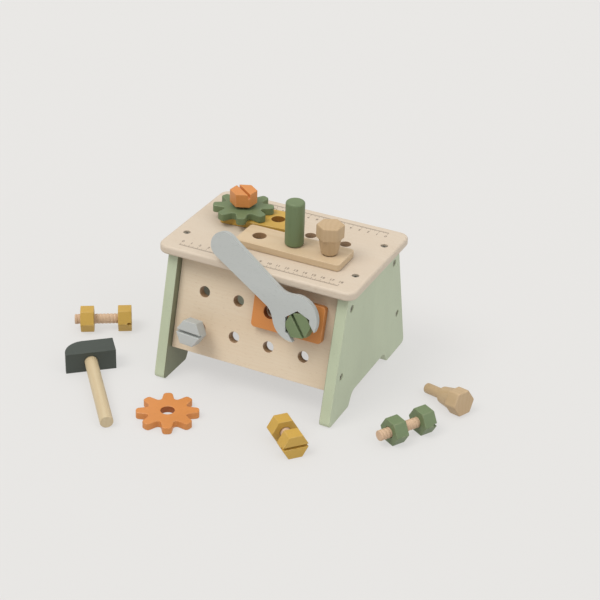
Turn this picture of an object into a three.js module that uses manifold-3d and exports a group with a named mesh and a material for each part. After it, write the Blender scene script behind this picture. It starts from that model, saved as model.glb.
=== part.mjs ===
// Wooden toy workbench with its plates, gears, bolts, pegs and tools.
// Millimetres, +Z up. X runs along the bench, -Y is the front, the floor is z = 0.
import * as THREE from 'three';
import { mergeVertices } from 'three/addons/utils/BufferGeometryUtils.js';
import Module from 'manifold-3d';

const wasm = await Module();
wasm.setup();

const DEG = Math.PI / 180;

// ---- driving dimensions -------------------------------------------------------------------

const GAP = 0.3; // air between two pieces that touch
const OVERCUT = 5; // how far a cutter reaches past the face that it cuts

const bench = {
  height: 148, // floor to the top face of the board
  width: 206, // over the outer faces of the side panels
  lean: 14.4, // slope of the front and back, degrees from upright
  topHalfDepth: 64.2, // middle to the side panel's edge, at the board's underside
};
const board = {
  thickness: 10,
  endOverhang: 9, // past the side panels
  frontOverhang: 10.8, // past the side panels' top edges, at the front and the back
  corner: 12,
  edge: 2.5,
};
const side = {
  thickness: 12,
  toeRadius: 9,
  archHeight: 14.3,
  archHalf: 42, // middle to the start of the arch's slope
  archSlope: 9, // how far the slope runs before it meets the sole
  archRadius: 6,
  heelRadius: 3,
};
const panel = { thickness: 10, recess: 8.9, bottom: 33.5 };
const pegHole = { play: 0.4, pitch: 40, columns: 4 }; // play: air round a shaft in the bench
const boardRows = [-20, 20]; // y of the two rows of holes in the board
const panelRowDrops = [38, 76.5]; // the two rows at a panel's outer face, below the board
const rail = { diameter: 16, height: 30, tenon: 10, tenonDepth: 6 };
const screw = { head: 7, shank: 3.4, length: 30, sink: 1.2, headDepth: 2.6, rim: 0.4 };
const topScrew = { y: 36.6 };
const sideScrew = { drop: 18, rise: 15.5 }; // below the board and above a panel's lower edge

const plate = { width: 39.4, thickness: 7.5, play: 1.65, end: 20, corner: 4 };
const gear = {
  tip: 32.5, // radius over the teeth
  root: 20.5,
  thickness: 8,
  teeth: 8,
  toothTip: 9, // width of a tooth at its tip
  toothRoot: 13,
  tipRound: 3.5,
  rootRound: 2.5,
};
const hex = { flats: 25.6, thickness: 15, slotWidth: 2.8, slotDepth: 4.5, chamfer: 0.8 };
const shaft = { diameter: 11.2, longBolt: 48, shortBolt: 30, socket: 8 };
const peg = {
  shaftLength: 23.5,
  shaftEdge: 1,
  coneLength: 18,
  coneSeat: 1.5, // how far the cone's small end reaches past a plate's hole
  coneInset: 1, // from the head's flats in to the cone's large end
  headLength: 15,
  headChamfer: 1.5,
};
const driver = {
  shoulder: 2.75, // how far the handle reaches past a plate's hole
  length: 49,
  edge: 2.5,
  blade: 8,
  bladeLength: 46, // blade outside the handle
  grip: 18, // blade inside the handle
  tip: 2, // thickness of the blade's end
  taper: 10, // length of the flattened end
};
const wrench = {
  thickness: 6.4,
  wall: 11.7, // from the hexagon's flats out to the head's round edge
  handleLength: 104.5,
  handleEnd: 14,
  handleNeck: 12, // half the handle's width where it leaves the head
  blendAngle: 52, // where the handle's flanks leave the round head
  blendStart: 30.5, // where the flanks' curves begin along the handle
  blendPull: 23.5,
  jawOffset: 7.6, // hexagon's centre to the middle of the round head
  jawOffsetAngle: 121.6, // direction of that offset
  handleAngle: 147.9,
  jawAngle: -52, // the way the jaw opens
  jawClearance: 0.5,
};
const hammer = {
  head: 24, // height and width of the square head
  length: 54,
  peen: 20.5, // length of the curved end
  nose: 2, // blunt end of the curve
  handle: 14,
  reach: 109, // handle outside the head
};

// Places of the pieces that sit on the bench.
const orangeBolt = { column: 0, row: 1, standOff: 3, turn: -37 };
const yellowPlateTurn = 5;
const greenGearTurn = 22.5;
const greenBolt = { column: 3, standOff: 3.9, turn: -52, nutGap: 2 };
const greyBolt = { column: 0, standOff: 12.5, turn: -3, nutGap: 1 };
const wrenchBoardGap = 0.35;
const hexPegTurn = 25;

// Places of the pieces that lie beside the bench: x, y of a reference point, and the turn.
const lying = {
  longYellow: { x: -177.3, y: -22.3, turn: 31.2, nutAt: 26.5 },
  shortYellow: { x: 94.7, y: -159.3, turn: -42, nutAt: 13 },
  looseGreen: { x: 191.2, y: -47.9, turn: 58.9, nutAt: 20.5 },
  loosePeg: { x: 215.1, y: -9.4, turn: -25.3 },
  orangeGear: { x: -53, y: -156.1, turn: 29 },
  hammer: { x: -168, y: -120.3, turn: 40.8 },
};

// ---- sizes that follow ----------------------------------------------------------------------

const boardBottom = bench.height - board.thickness;
const leanTan = Math.tan(bench.lean * DEG);
const sideEdge = (z) => bench.topHalfDepth + (boardBottom - z) * leanTan; // |y| of its edge
const panelFace = (z) => sideEdge(z) - panel.recess; // |y| of a panel's outer face
const sideInner = bench.width / 2 - side.thickness;
const hexRadius = hex.flats / Math.sqrt(3);
const columnX = (i) => (i - (pegHole.columns - 1) / 2) * pegHole.pitch;
const boardLength = bench.width + 2 * board.endOverhang;
const boardDepth = 2 * (bench.topHalfDepth + board.frontOverhang);
const panelRows = panelRowDrops.map((drop) => boardBottom - drop);
const sideScrews = [boardBottom - sideScrew.drop, panel.bottom + sideScrew.rise];
const benchHole = shaft.diameter + 2 * pegHole.play;
const plateHole = shaft.diameter + 2 * plate.play;
const nutBore = shaft.diameter + 2 * GAP;
const pegCone = {
  small: plateHole + 2 * peg.coneSeat,
  large: hex.flats - 2 * peg.coneInset,
};
const driverRadius = plateHole / 2 + driver.shoulder;
const wrenchRadius = hex.flats / 2 + wrench.wall;

// ---- materials --------------------------------------------------------------------------------

const paint = (color, roughness = 0.55) =>
  new THREE.MeshStandardMaterial({ color, roughness, metalness: 0 });
const materials = {
  board: () => paint(0xdccdb6, 0.6),
  panel: () => paint(0xd6bf9d, 0.6),
  sage: () => paint(0xa9b796),
  beech: () => paint(0xd3b58a, 0.6),
  yellow: () => paint(0xd2a93f),
  orange: () => paint(0xd08045),
  green: () => paint(0x6b8a5d),
  grey: () => paint(0xb4bab8),
  slate: () => paint(0x4b544d),
  steel: () => new THREE.MeshStandardMaterial({ color: 0x4d4a44, roughness: 0.45, metalness: 0.8 }),
};

// ---- helpers ------------------------------------------------------------------------------------

/** A closed mesh as a solid that can be joined and cut. */
function toSolid(geometry) {
  const bare = geometry.clone();
  bare.deleteAttribute('normal');
  bare.deleteAttribute('uv');
  const merged = mergeVertices(bare, 1e-4);
  return new wasm.Manifold(new wasm.Mesh({
    numProp: 3,
    vertProperties: new Float32Array(merged.attributes.position.array),
    triVerts: new Uint32Array(merged.index.array),
  }));
}

/** The solid as a geometry with flat normals. */
function toGeometry(solid) {
  const { vertProperties, triVerts } = solid.getMesh();
  const geometry = new THREE.BufferGeometry();
  geometry.setAttribute('position', new THREE.BufferAttribute(vertProperties, 3));
  geometry.setIndex(new THREE.BufferAttribute(triVerts, 1));
  geometry.computeVertexNormals();
  return geometry;
}

/** A closed outline whose corners [x, y, radius] are rounded. */
function roundedOutline(corners) {
  const shape = new THREE.Shape();
  const count = corners.length;
  corners.forEach(([x, y, radius], i) => {
    const here = new THREE.Vector2(x, y);
    const before = new THREE.Vector2(...corners[(i + count - 1) % count]).sub(here);
    const after = new THREE.Vector2(...corners[(i + 1) % count]).sub(here);
    const cut = Math.min(radius, before.length() * 0.48, after.length() * 0.48);
    const start = here.clone().add(before.setLength(cut));
    const end = here.clone().add(after.setLength(cut));
    if (i === 0) shape.moveTo(start.x, start.y);
    else shape.lineTo(start.x, start.y);
    if (cut > 0) shape.quadraticCurveTo(x, y, end.x, end.y);
  });
  shape.closePath();
  return shape;
}

/** A shape pushed up along +Z. */
const extrude = (shape, depth, curveSegments = 5) =>
  new THREE.ExtrudeGeometry(shape, { depth, bevelEnabled: false, curveSegments });

/** A shape drawn in the Y-Z plane, pushed along +X from `x`. */
function extrudeAlongX(shape, x, depth) {
  const basis = new THREE.Matrix4().makeBasis(
    new THREE.Vector3(0, 1, 0), new THREE.Vector3(0, 0, 1), new THREE.Vector3(1, 0, 0));
  return extrude(shape, depth).applyMatrix4(basis).translate(x, 0, 0);
}

/** A round bar along +Z from z = `from` to z = `to`. */
const bar = (diameter, from, to, sides = 20) =>
  new THREE.CylinderGeometry(diameter / 2, diameter / 2, to - from, sides)
    .rotateX(90 * DEG).translate(0, 0, (from + to) / 2);

/** A turned solid about Z from [radius, z] points; the first and last lie on the axis. */
const turned = (profile, sides = 20) =>
  new THREE.LatheGeometry(profile.map(([r, z]) => new THREE.Vector2(r, z)), sides).rotateX(90 * DEG);

/** A hexagonal bar along +Z, one corner on +X, with its end edges chamfered. */
function hexBar(from, to, chamfer = hex.chamfer) {
  const r = hexRadius;
  return turned([[0, from], [r - chamfer, from], [r, from + chamfer], [r, to - chamfer],
    [r - chamfer, to], [0, to]], 6).rotateZ(90 * DEG);
}

/** A matrix that sets something on a sloped panel: local X along the bench, Z out of the face. */
function panelFrame(x, rowHeight) {
  const place = new THREE.Matrix4().makeTranslation(x, -panelFace(rowHeight), rowHeight);
  return place.multiply(new THREE.Matrix4().makeRotationX((90 - bench.lean) * DEG));
}

const group = new THREE.Group();

/** Adds one named piece to the bench, from a solid or a geometry, placed by a matrix. */
function addPiece(name, body, material, matrix = new THREE.Matrix4()) {
  const geometry = body.isBufferGeometry ? toGeometry(toSolid(body)) : toGeometry(body);
  const mesh = new THREE.Mesh(geometry, material);
  mesh.name = name;
  matrix.decompose(mesh.position, mesh.quaternion, mesh.scale);
  group.add(mesh);
  return mesh;
}

const at = (x, y, z, turn = 0) =>
  new THREE.Matrix4().makeTranslation(x, y, z).multiply(new THREE.Matrix4().makeRotationZ(turn * DEG));

// ---- screws ---------------------------------------------------------------------------------------

/** A countersunk screw: head at z = 0, shank down to -length. `grow` makes the hole for it. */
function screwGeometry(grow = 0) {
  const r = screw.shank / 2 + grow;
  const top = grow ? screw.sink + OVERCUT : 0;
  const head = screw.head / 2 + grow;
  return turned([[0, -screw.length - grow], [r, -screw.length - grow], [r, -screw.headDepth],
    [head, -screw.rim], [head, top], [0, top]], 10);
}

/** Where each screw stands: its head's centre and the turn that points its shank inwards. */
function screwPlaces() {
  const places = { top: [], left: [], right: [] };
  const topX = bench.width / 2 - side.thickness / 2;
  for (const x of [-topX, topX]) {
    for (const y of [-topScrew.y, topScrew.y]) {
      places.top.push(new THREE.Matrix4().makeTranslation(x, y, bench.height - screw.sink));
    }
  }
  const sideX = bench.width / 2 - screw.sink;
  for (const z of sideScrews) {
    const middle = panelFace(z) - panel.thickness / 2 / Math.cos(bench.lean * DEG);
    for (const y of [-middle, middle]) {
      const turn = new THREE.Matrix4().makeRotationY(90 * DEG);
      places.right.push(new THREE.Matrix4().makeTranslation(sideX, y, z).multiply(turn));
      const back = new THREE.Matrix4().makeRotationY(-90 * DEG);
      places.left.push(new THREE.Matrix4().makeTranslation(-sideX, y, z).multiply(back));
    }
  }
  return places;
}

const screws = screwPlaces();
const placed = (geometry, matrix) => toSolid(geometry.clone().applyMatrix4(matrix));
const joined = (solids) => solids.reduce((whole, solid) => whole.add(solid));
const screwHoles = joined(
  [...screws.top, ...screws.left, ...screws.right].map((m) => placed(screwGeometry(GAP), m)));

// ---- bench ------------------------------------------------------------------------------------------

/** The top board: rounded corners, eased edges, two rows of peg holes. */
function topBoard() {
  const inset = board.edge;
  const half = { x: boardLength / 2 - inset, y: boardDepth / 2 - inset };
  const round = board.corner - inset;
  const outline = roundedOutline([[-half.x, -half.y, round], [half.x, -half.y, round],
    [half.x, half.y, round], [-half.x, half.y, round]]);
  const slab = new THREE.ExtrudeGeometry(outline, {
    depth: board.thickness - 2 * inset,
    bevelThickness: inset,
    bevelSize: inset,
    bevelSegments: 1,
    curveSegments: 5,
  }).translate(0, 0, boardBottom + inset);
  let solid = toSolid(slab).subtract(screwHoles);
  for (let i = 0; i < pegHole.columns; i += 1) {
    for (const y of boardRows) {
      const cutter = bar(benchHole, boardBottom - OVERCUT, bench.height + OVERCUT);
      solid = solid.subtract(toSolid(cutter.translate(columnX(i), y, 0)));
    }
  }
  return solid;
}

/** A side panel's outline in Y-Z: leaning edges, two feet and a low arch between them. */
function sideOutline() {
  const top = boardBottom - GAP;
  const foot = side.archHalf + side.archSlope;
  const half = [[foot, 0, side.heelRadius], [sideEdge(0), 0, side.toeRadius], [sideEdge(top), top, 0]];
  const arch = [[side.archHalf, side.archHeight, side.archRadius]];
  const mirror = (points) => points.map(([y, z, r]) => [-y, z, r]).reverse();
  return roundedOutline([...arch, ...half, ...mirror(half), ...mirror(arch)]);
}

/** One side panel; `sign` is -1 on the left and 1 on the right. */
function sidePanel(sign) {
  const x = sign > 0 ? sideInner : -bench.width / 2;
  const socket = bar(rail.tenon + 2 * GAP, -rail.tenonDepth - GAP, OVERCUT)
    .rotateY(-sign * 90 * DEG).translate(sign * sideInner, 0, rail.height);
  return toSolid(extrudeAlongX(sideOutline(), x, side.thickness))
    .subtract(screwHoles).subtract(toSolid(socket));
}

/** A sloped panel between the sides; `sign` is -1 at the front and 1 at the back. */
function slopedPanel(sign) {
  const top = boardBottom - GAP;
  const cos = Math.cos(bench.lean * DEG);
  const sin = Math.sin(bench.lean * DEG);
  const lowFace = [panelFace(panel.bottom), panel.bottom];
  const lowBack = [lowFace[0] - panel.thickness * cos, panel.bottom - panel.thickness * sin];
  const topBack = [panelFace(top) - panel.thickness / cos, top];
  const corners = [lowBack, lowFace, [panelFace(top), top], topBack];
  const order = sign > 0 ? corners : corners.map(([y, z]) => [-y, z]).reverse();
  const width = 2 * (sideInner - GAP);
  const outline = roundedOutline(order.map(([y, z]) => [y, z, 0]));
  let solid = toSolid(extrudeAlongX(outline, -width / 2, width)).subtract(screwHoles);
  for (const height of panelRows) {
    for (let i = 0; i < pegHole.columns; i += 1) {
      const cutter = bar(benchHole, -panel.thickness - OVERCUT, OVERCUT)
        .applyMatrix4(panelFrame(columnX(i), height));
      if (sign > 0) cutter.rotateZ(Math.PI);
      solid = solid.subtract(toSolid(cutter));
    }
  }
  return solid;
}

/** The carry rail: a round bar with a tenon at each end. */
function carryRail() {
  const half = sideInner - GAP;
  const end = sideInner + rail.tenonDepth - GAP;
  const big = rail.diameter / 2;
  const small = rail.tenon / 2;
  return turned([[0, -end], [small, -end], [small, -half], [big, -half], [big, half],
    [small, half], [small, end], [0, end]]).rotateY(90 * DEG).translate(0, 0, rail.height);
}

addPiece('top_board', topBoard(), materials.board());
addPiece('left_side_panel', sidePanel(-1), materials.sage());
addPiece('right_side_panel', sidePanel(1), materials.sage());
addPiece('front_panel', slopedPanel(-1), materials.panel());
addPiece('back_panel', slopedPanel(1), materials.panel());
addPiece('carry_rail', carryRail(), materials.green());
for (const [name, places] of Object.entries(screws)) {
  places.forEach((m, i) => addPiece(`${name}_screw_${i + 1}`, screwGeometry(), materials.steel(), m));
}

// ---- plates and gears ---------------------------------------------------------------------------

/** A flat plate along X with `holes` holes; the first hole is at the origin. */
function plateSolid(holes) {
  const length = (holes - 1) * pegHole.pitch + 2 * plate.end - 2 * GAP;
  const [x0, x1] = [GAP - plate.end, GAP - plate.end + length];
  const y = plate.width / 2;
  const outline = roundedOutline([[x0, -y, plate.corner], [x1, -y, plate.corner],
    [x1, y, plate.corner], [x0, y, plate.corner]]);
  let solid = toSolid(extrude(outline, plate.thickness, 3));
  for (let i = 0; i < holes; i += 1) {
    const cutter = bar(plateHole, -OVERCUT, plate.thickness + OVERCUT);
    solid = solid.subtract(toSolid(cutter.translate(i * pegHole.pitch, 0, 0)));
  }
  return solid;
}

/** A flat gear with round-tipped teeth, its first tooth on +X. */
function gearSolid() {
  const step = 360 / gear.teeth;
  const corners = [];
  for (let i = 0; i < gear.teeth; i += 1) {
    const [c, s] = [Math.cos(i * step * DEG), Math.sin(i * step * DEG)];
    const flank = [[gear.root, gear.toothRoot / 2, gear.rootRound],
      [gear.tip, gear.toothTip / 2, gear.tipRound]];
    const tooth = [...flank.map(([a, b, r]) => [a, -b, r]), ...flank.reverse()];
    for (const [a, b, r] of tooth) corners.push([a * c - b * s, a * s + b * c, r]);
  }
  const blank = toSolid(extrude(roundedOutline(corners), gear.thickness, 3));
  return blank.subtract(toSolid(bar(plateHole, -OVERCUT, gear.thickness + OVERCUT)));
}

const boltX = columnX(orangeBolt.column);
const boltY = boardRows[orangeBolt.row];
const plateZ = bench.height + GAP;
const gearZ = plateZ + plate.thickness + GAP;
addPiece('yellow_plate', plateSolid(2), materials.yellow(), at(boltX, boltY, plateZ, yellowPlateTurn));
addPiece('green_gear', gearSolid(), materials.green(), at(boltX, boltY, gearZ, greenGearTurn));
addPiece('natural_plate', plateSolid(3), materials.beech(), at(columnX(1), boardRows[0], plateZ));
addPiece('orange_gear', gearSolid(), materials.orange(),
  at(lying.orangeGear.x, lying.orangeGear.y, 0, lying.orangeGear.turn));
const orangePlateHole = greenBolt.column - 1;
addPiece('orange_plate', plateSolid(2), materials.orange(),
  panelFrame(columnX(orangePlateHole), panelRows[0]).multiply(at(0, 0, GAP)));

// ---- bolts, nuts and pegs ---------------------------------------------------------------------------

/** A bolt's head: its shaft side at z = 0, its slotted face at the top. */
function headSolid() {
  const slot = new THREE.BoxGeometry(4 * hexRadius, hex.slotWidth, 2 * hex.slotDepth);
  const socket = bar(shaft.diameter + 2 * GAP, -OVERCUT, shaft.socket + GAP);
  return toSolid(hexBar(0, hex.thickness))
    .subtract(toSolid(slot.translate(0, 0, hex.thickness)))
    .subtract(toSolid(socket));
}

/** A bolt's round shaft: glued `socket` deep into the head, `length` long below it. */
const shaftGeometry = (length) => bar(shaft.diameter, -length, shaft.socket);

/** A nut with its upper face at z = 0. */
const nutSolid = () =>
  toSolid(hexBar(-hex.thickness, 0)).subtract(toSolid(bar(nutBore, -hex.thickness - OVERCUT, OVERCUT)));

/** Head, shaft and nut of one bolt. The nut's upper face is `nutAt` below the head. */
function addBolt(name, color, length, nutAt, matrix) {
  addPiece(`${name}_head`, headSolid(), materials[color](), matrix);
  addPiece(`${name}_shaft`, shaftGeometry(length), materials.beech(), matrix);
  addPiece(`${name}_nut`, nutSolid(), materials[color](), matrix.clone().multiply(at(0, 0, -nutAt)));
}

/** A bolt pushed through a panel's hole, its head `standOff` above whatever lies on the panel. */
function addPanelBolt(name, color, { column, standOff, turn, nutGap }, row, under) {
  const lift = under + standOff;
  const matrix = panelFrame(columnX(column), panelRows[row]).multiply(at(0, 0, lift, turn));
  addBolt(name, color, shaft.longBolt, lift + panel.thickness + nutGap, matrix);
}

const orangeHeadZ = gearZ + gear.thickness + orangeBolt.standOff;
addBolt('orange_bolt', 'orange', shaft.longBolt, orangeHeadZ - boardBottom + GAP,
  at(boltX, boltY, orangeHeadZ, orangeBolt.turn));
addPanelBolt('green_bolt', 'green', greenBolt, 0, 2 * GAP + plate.thickness);
addPanelBolt('grey_bolt', 'grey', greyBolt, 1, 0);

/** Lays a bolt on one flat of its hexagon, axis and slot level, its slotted face at x, y. */
function layBolt({ x, y, turn }) {
  const tip = new THREE.Matrix4().makeRotationY(90 * DEG);
  return at(x, y, hex.flats / 2, turn).multiply(tip).multiply(at(0, 0, -hex.thickness, 90));
}

addBolt('long_yellow_bolt', 'yellow', shaft.longBolt, lying.longYellow.nutAt,
  layBolt(lying.longYellow));
addBolt('short_yellow_bolt', 'yellow', shaft.shortBolt, lying.shortYellow.nutAt,
  layBolt(lying.shortYellow));
addBolt('loose_green_bolt', 'green', shaft.longBolt, lying.looseGreen.nutAt,
  layBolt(lying.looseGreen));

/** A push-in peg: the small end of its cone at z = 0, shaft below, hexagonal head above. */
function pegSolid() {
  const r = shaft.diameter / 2;
  const e = peg.shaftEdge;
  const turnedPart = turned([[0, -peg.shaftLength], [r - e, -peg.shaftLength],
    [r, e - peg.shaftLength], [r, 0], [pegCone.small / 2, 0], [pegCone.large / 2, peg.coneLength],
    [0, peg.coneLength]]);
  const head = hexBar(peg.coneLength - GAP, peg.coneLength + peg.headLength, peg.headChamfer);
  return toSolid(turnedPart).add(toSolid(head));
}

const pegZ = plateZ + plate.thickness + GAP;
addPiece('hex_peg', pegSolid(), materials.beech(),
  at(columnX(3), boardRows[0], pegZ, hexPegTurn));

/** The loose peg rests on the rear edge of its head and the end of its shaft. */
function layPeg({ x, y, turn }) {
  const drop = hex.flats / 2 - shaft.diameter / 2;
  const tilt = Math.atan2(drop, peg.coneLength + peg.shaftLength) / DEG;
  const faceHeight = hex.flats / 2 * Math.cos(tilt * DEG) + peg.headLength * Math.sin(tilt * DEG);
  const tip = new THREE.Matrix4().makeRotationY((90 - tilt) * DEG);
  return at(x, y, faceHeight, turn).multiply(tip)
    .multiply(at(0, 0, -peg.coneLength - peg.headLength, 90));
}

addPiece('loose_peg', pegSolid(), materials.beech(), layPeg(lying.loosePeg));

// ---- screwdriver, wrench and hammer ---------------------------------------------------------------

/** The screwdriver's handle, with a socket for its blade; its lower end is at z = 0. */
function driverHandle() {
  const r = driverRadius;
  const e = driver.edge;
  const body = turned([[0, 0], [r - e, 0], [r, e], [r, driver.length - e], [r - e, driver.length],
    [0, driver.length]]);
  return toSolid(body).subtract(toSolid(bar(driver.blade + 2 * GAP, -OVERCUT, driver.grip + GAP)));
}

/** The screwdriver's blade: a round bar that is flattened to an edge at its lower end. */
function driverBlade() {
  const low = -driver.bladeLength;
  const half = driver.blade / 2 + GAP;
  const flank = [[driver.tip / 2, low - OVERCUT], [driver.tip / 2, low], [half, low + driver.taper],
    [half, driver.grip + OVERCUT]];
  const mirror = flank.map(([y, z]) => [-y, z]).reverse();
  const outline = roundedOutline([...flank, ...mirror].map(([y, z]) => [y, z, 0]));
  const wedge = extrudeAlongX(outline, -driver.blade, 2 * driver.blade);
  return toSolid(bar(driver.blade, low, driver.grip)).intersect(toSolid(wedge));
}

const driverPlace = at(columnX(2), boardRows[0], pegZ);
addPiece('screwdriver_handle', driverHandle(), materials.green(), driverPlace);
addPiece('screwdriver_blade', driverBlade(), materials.grey(), driverPlace);

/** The open wrench, lying in X-Y with the hexagon that it holds centred on the origin. */
function wrenchSolid() {
  const w = wrench;
  const blend = w.blendAngle * DEG;
  const outline = new THREE.Shape();
  outline.absarc(w.handleLength, 0, w.handleEnd, -Math.PI / 2, Math.PI / 2, false);
  outline.lineTo(w.blendStart, w.handleNeck);
  outline.quadraticCurveTo(w.blendPull, w.handleNeck,
    wrenchRadius * Math.cos(blend), wrenchRadius * Math.sin(blend));
  outline.absarc(0, 0, wrenchRadius, blend, 2 * Math.PI - blend, false);
  outline.quadraticCurveTo(w.blendPull, -w.handleNeck, w.blendStart, -w.handleNeck);
  outline.closePath();
  const offset = w.jawOffsetAngle * DEG;
  const body = extrude(outline, w.thickness, 10).rotateZ(w.handleAngle * DEG)
    .translate(w.jawOffset * Math.cos(offset), w.jawOffset * Math.sin(offset), 0);
  const half = hex.flats / 2 + w.jawClearance;
  const throat = new THREE.CylinderGeometry(half * 2 / Math.sqrt(3), half * 2 / Math.sqrt(3),
    w.thickness + 2 * OVERCUT, 6).rotateX(90 * DEG).rotateZ((90 + w.jawAngle) * DEG)
    .translate(0, 0, w.thickness / 2);
  const way = 2 * wrenchRadius;
  const mouth = new THREE.BoxGeometry(way, 2 * half, w.thickness + 2 * OVERCUT)
    .translate(way / 2, 0, w.thickness / 2).rotateZ(w.jawAngle * DEG);
  return toSolid(body).subtract(toSolid(throat).add(toSolid(mouth)));
}

/** How far out of the front panel's plane the board's eased front edge stands. */
function boardEdgeReach() {
  const z = bench.height - board.edge;
  return (boardDepth / 2 - panelFace(z)) * Math.cos(bench.lean * DEG);
}

const wrenchLift = boardEdgeReach() + wrenchBoardGap;
addPiece('wrench', wrenchSolid(), materials.grey(),
  panelFrame(columnX(greenBolt.column), panelRows[0]).multiply(at(0, 0, wrenchLift)));

/** The hammer in its own frame: the handle leaves the head's front face (y = 0) towards -Y. */
function hammerSolids() {
  const half = hammer.length / 2;
  const outline = new THREE.Shape();
  outline.moveTo(-half, 0);
  outline.lineTo(half, 0);
  outline.lineTo(half, hammer.head);
  outline.lineTo(hammer.peen - half, hammer.head);
  outline.quadraticCurveTo(hammer.nose - half, hammer.head - hammer.nose, -half, hammer.nose);
  outline.closePath();
  const middle = hammer.head / 2;
  const along = (geometry) => geometry.rotateX(90 * DEG).translate(0, 0, middle);
  const eye = along(bar(hammer.handle + 2 * GAP, -hammer.head - OVERCUT, OVERCUT));
  const head = toSolid(extrude(outline, hammer.head, 8)).subtract(toSolid(eye));
  const handle = along(bar(hammer.handle, -hammer.head, hammer.reach));
  return { head, handle };
}

/** The hammer rests on the front edge of its head and the end of its handle. */
function layHammer({ x, y, turn }) {
  const tilt = Math.atan2((hammer.head - hammer.handle) / 2, hammer.reach);
  return at(x, y, 0, turn).multiply(new THREE.Matrix4().makeRotationX(tilt));
}

const hammerParts = hammerSolids();
const hammerPlace = layHammer(lying.hammer);
addPiece('hammer_head', hammerParts.head, materials.slate(), hammerPlace);
addPiece('hammer_handle', hammerParts.handle, materials.beech(), hammerPlace);

// ---- origin -----------------------------------------------------------------------------------------

// The origin is on the floor, under the middle of everything.
group.updateMatrixWorld(true);
const bounds = new THREE.Box3().setFromObject(group, true);
const middle = bounds.getCenter(new THREE.Vector3());
group.position.set(-middle.x, -middle.y, -bounds.min.z);
group.updateMatrixWorld(true);

export default group;
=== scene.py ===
"""Looks of the wooden toy workbench: pieces, finishes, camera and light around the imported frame."""

import logging
import math
from contextlib import contextmanager
from dataclasses import dataclass, field
from enum import Enum
from typing import Callable, Iterator, Sequence

import bmesh
import bpy
from mathutils import Euler, Matrix, Vector


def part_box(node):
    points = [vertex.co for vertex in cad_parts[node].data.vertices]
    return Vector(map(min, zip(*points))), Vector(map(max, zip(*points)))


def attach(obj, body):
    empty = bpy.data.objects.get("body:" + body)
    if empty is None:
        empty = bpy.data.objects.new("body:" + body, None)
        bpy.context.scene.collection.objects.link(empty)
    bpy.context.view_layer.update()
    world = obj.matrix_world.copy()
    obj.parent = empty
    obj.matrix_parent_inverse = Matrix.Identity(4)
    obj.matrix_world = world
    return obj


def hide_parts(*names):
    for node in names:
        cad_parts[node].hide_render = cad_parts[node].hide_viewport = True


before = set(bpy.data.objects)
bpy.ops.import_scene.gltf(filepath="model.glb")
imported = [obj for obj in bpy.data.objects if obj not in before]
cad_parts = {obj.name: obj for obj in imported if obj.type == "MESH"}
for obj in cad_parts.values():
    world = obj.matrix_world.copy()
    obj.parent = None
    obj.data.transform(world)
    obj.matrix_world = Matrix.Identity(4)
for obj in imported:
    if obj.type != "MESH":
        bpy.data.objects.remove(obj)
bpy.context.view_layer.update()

MM = 0.001
LEAN = math.radians(14.4)  # slope of the front and back panels
log = logging.getLogger("workbench")


class Grain(Enum):
    """The way the grain runs in a piece's own frame, as the turn that lays X along it."""

    ALONG_X = (0.0, 0.0, 0.0)
    ALONG_Y = (0.0, 0.0, 90.0)
    ALONG_Z = (0.0, -90.0, 0.0)


# ---- modelling steps --------------------------------------------------------------------


def activate(obj: bpy.types.Object) -> None:
    """Makes one object the only selected one.

    Args:
        obj: The object that the next operator works on.
    """
    if bpy.context.object and bpy.context.object.mode != "OBJECT":
        bpy.ops.object.mode_set(mode="OBJECT")
    bpy.ops.object.select_all(action="DESELECT")
    obj.select_set(True)
    bpy.context.view_layer.objects.active = obj


@contextmanager
def editing(obj: bpy.types.Object, kind: str = "EDGE") -> Iterator[bmesh.types.BMesh]:
    """Opens edit mode on one object with nothing selected.

    Args:
        obj: The object to edit.
        kind: VERT, EDGE or FACE, the kind of element that gets picked.

    Yields:
        The mesh in edit mode.
    """
    activate(obj)
    bpy.ops.object.mode_set(mode="EDIT")
    bpy.ops.mesh.select_mode(type=kind)
    bpy.ops.mesh.select_all(action="DESELECT")
    yield bmesh.from_edit_mesh(obj.data)
    bpy.ops.object.mode_set(mode="OBJECT")


def pick(items: Sequence, test: Callable) -> None:
    """Selects the edges or faces that pass a test, and nothing else.

    Args:
        items: The mesh's edges or faces.
        test: Takes one of them and says whether it is picked.
    """
    for item in items:
        item.select_set(False)
    for item in items:
        if test(item):
            item.select_set(True)


def edge_runs(edge: bmesh.types.BMEdge, axis: int) -> bool:
    """Whether an edge runs along one axis.

    Args:
        edge: The edge.
        axis: 0, 1 or 2 for X, Y or Z.

    Returns:
        True if it does.
    """
    way = (edge.verts[1].co - edge.verts[0].co).normalized()
    return abs(way[axis]) > 0.99


def edge_middle(edge: bmesh.types.BMEdge) -> Vector:
    """The middle of an edge.

    Args:
        edge: The edge.

    Returns:
        The point halfway between its ends, in metres.
    """
    return (edge.verts[0].co + edge.verts[1].co) / 2


def add_box(name: str, low: Sequence[float], high: Sequence[float]) -> bpy.types.Object:
    """Adds a box.

    Args:
        name: The object's name.
        low: Lowest corner, in millimetres.
        high: Highest corner, in millimetres.

    Returns:
        The new object, its place in its mesh.
    """
    centre = [(a + b) / 2 * MM for a, b in zip(low, high)]
    bpy.ops.object.select_all(action="DESELECT")
    bpy.ops.mesh.primitive_cube_add(size=1, location=centre)
    obj = bpy.context.object
    obj.name = name
    obj.scale = [(b - a) * MM for a, b in zip(low, high)]
    settle_transform(obj)
    return obj


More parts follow.
